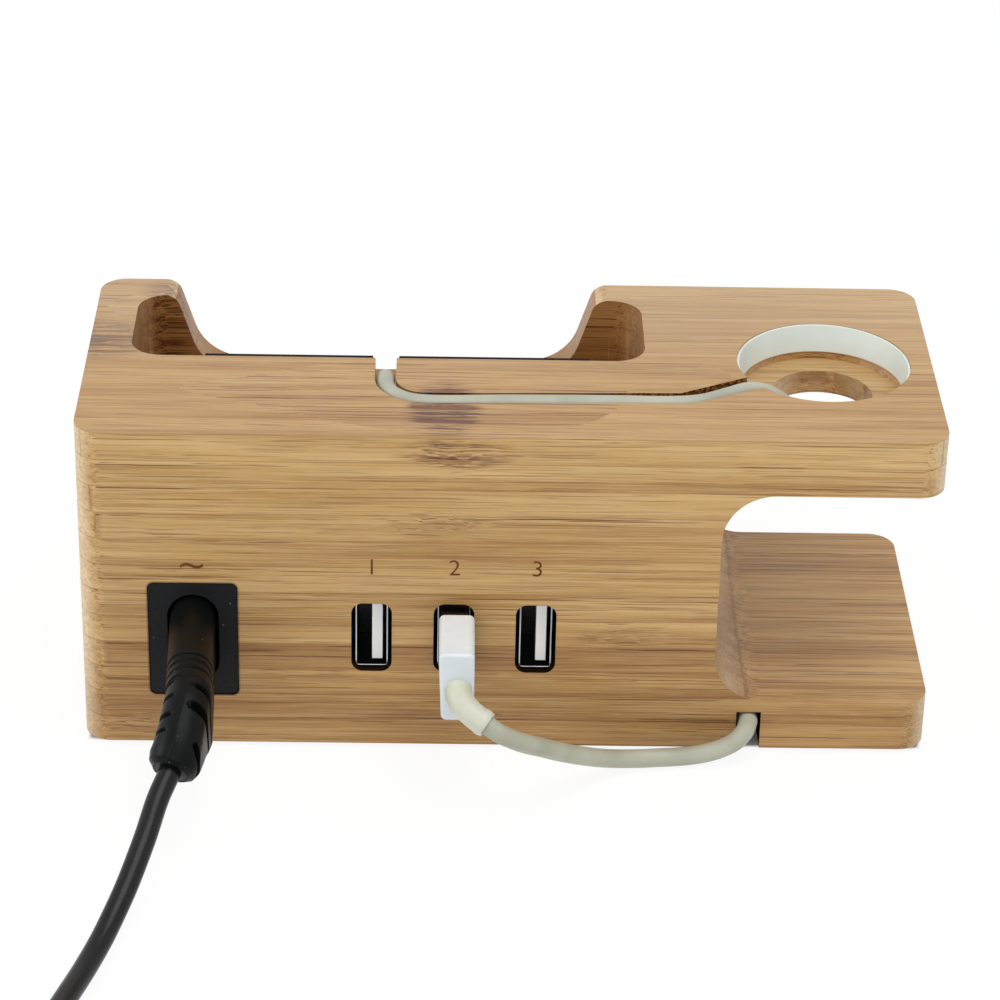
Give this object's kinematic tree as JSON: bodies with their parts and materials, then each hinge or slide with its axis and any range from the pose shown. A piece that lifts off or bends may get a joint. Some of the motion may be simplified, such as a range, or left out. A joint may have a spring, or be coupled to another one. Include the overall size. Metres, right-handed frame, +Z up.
{
  "type": "charging station organizer",
  "caption": "Bamboo desk stand with a phone slot, a watch arm over a tray, a built-in mains charger with ports on its back, and two leads.",
  "frame": {"origin": "middle of the stand's footprint, on the surface that its feet stand on", "axes": "+X towards the mains inlet's end, +Y out of the ports' face, +Z up"},
  "size_m": [0.1514, 0.2217, 0.0619],
  "materials": {
    "bamboo": "satin oiled bamboo",
    "cover_plastic": "fine texture",
    "screw_steel": "zinc plated",
    "foot_rubber": "matte",
    "pad_foam": "matte",
    "white_plastic": "smooth",
    "inlet_plastic": "fine texture",
    "pin_brass": "plated",
    "live_insulation": "smooth",
    "neutral_insulation": "smooth",
    "board_laminate": "solder resist",
    "port_steel": "tin plated",
    "port_plastic": "smooth",
    "contact_gold": "gold plated",
    "ferrite": "ceramic",
    "winding_tape": "tape",
    "capacitor_sleeve": "shrink sleeve",
    "fuse_body": "ceramic",
    "choke_sleeve": "shrink sleeve",
    "chip_epoxy": "moulded",
    "safety_cap_coat": "dipped",
    "plug_black": "soft moulded",
    "cord_black": "smooth",
    "cord_cream": "smooth"
  },
  "bodies": {
    "stand": {"bamboo_body": "bamboo", "base_cover": "cover_plastic", "base_screws": "screw_steel", "rubber_feet": "foot_rubber", "phone_pad_left": "pad_foam", "phone_pad_right": "pad_foam", "watch_sleeve": "white_plastic", "inlet_housing": "inlet_plastic", "inlet_pins": "pin_brass", "live_wire": "live_insulation", "neutral_wire": "neutral_insulation", "charger_board": "board_laminate", "board_screws": "screw_steel", "usb_shell_1": "port_steel", "usb_shell_2": "port_steel", "usb_shell_3": "port_steel", "usb_tongue_1": "port_plastic", "usb_tongue_2": "port_plastic", "usb_tongue_3": "port_plastic", "usb_contacts_1": "contact_gold", "usb_contacts_2": "contact_gold", "usb_contacts_3": "contact_gold", "transformer_core": "ferrite", "transformer_winding": "winding_tape", "bulk_capacitor": "capacitor_sleeve", "output_capacitors": "capacitor_sleeve", "input_fuse": "fuse_body", "input_choke": "choke_sleeve", "bridge_rectifier": "chip_epoxy", "controller_chip": "chip_epoxy", "output_diode": "chip_epoxy", "safety_capacitor": "safety_cap_coat", "watch_cord_free": "cord_cream", "watch_cord_held": "cord_cream"},
    "mains_lead": {"mains_plug_body": "plug_black", "mains_plug_contacts": "contact_gold", "mains_strain_relief": "plug_black", "mains_cord_run": "cord_black", "mains_cord_coil": "cord_black", "cord_tie": "plug_black", "wall_plug_body": "plug_black", "wall_plug_blades": "pin_brass"},
    "watch_plug": {"watch_plug_shell": "port_steel", "watch_plug_insulator": "port_plastic", "watch_plug_contacts": "contact_gold", "watch_plug_grip": "white_plastic", "watch_plug_sleeve": "cord_cream"}
  },
  "joints": [
    {"name": "mains_plug_slide", "type": "slide", "parent": "stand", "child": "mains_lead", "axis": [0, 1, 0], "range_m": [0, 0.022]},
    {"name": "watch_plug_slide", "type": "slide", "parent": "stand", "child": "watch_plug", "axis": [0, 1, 0], "range_m": [-0.0025, 0.015], "deforming": ["watch_cord_free"]}
  ]
}
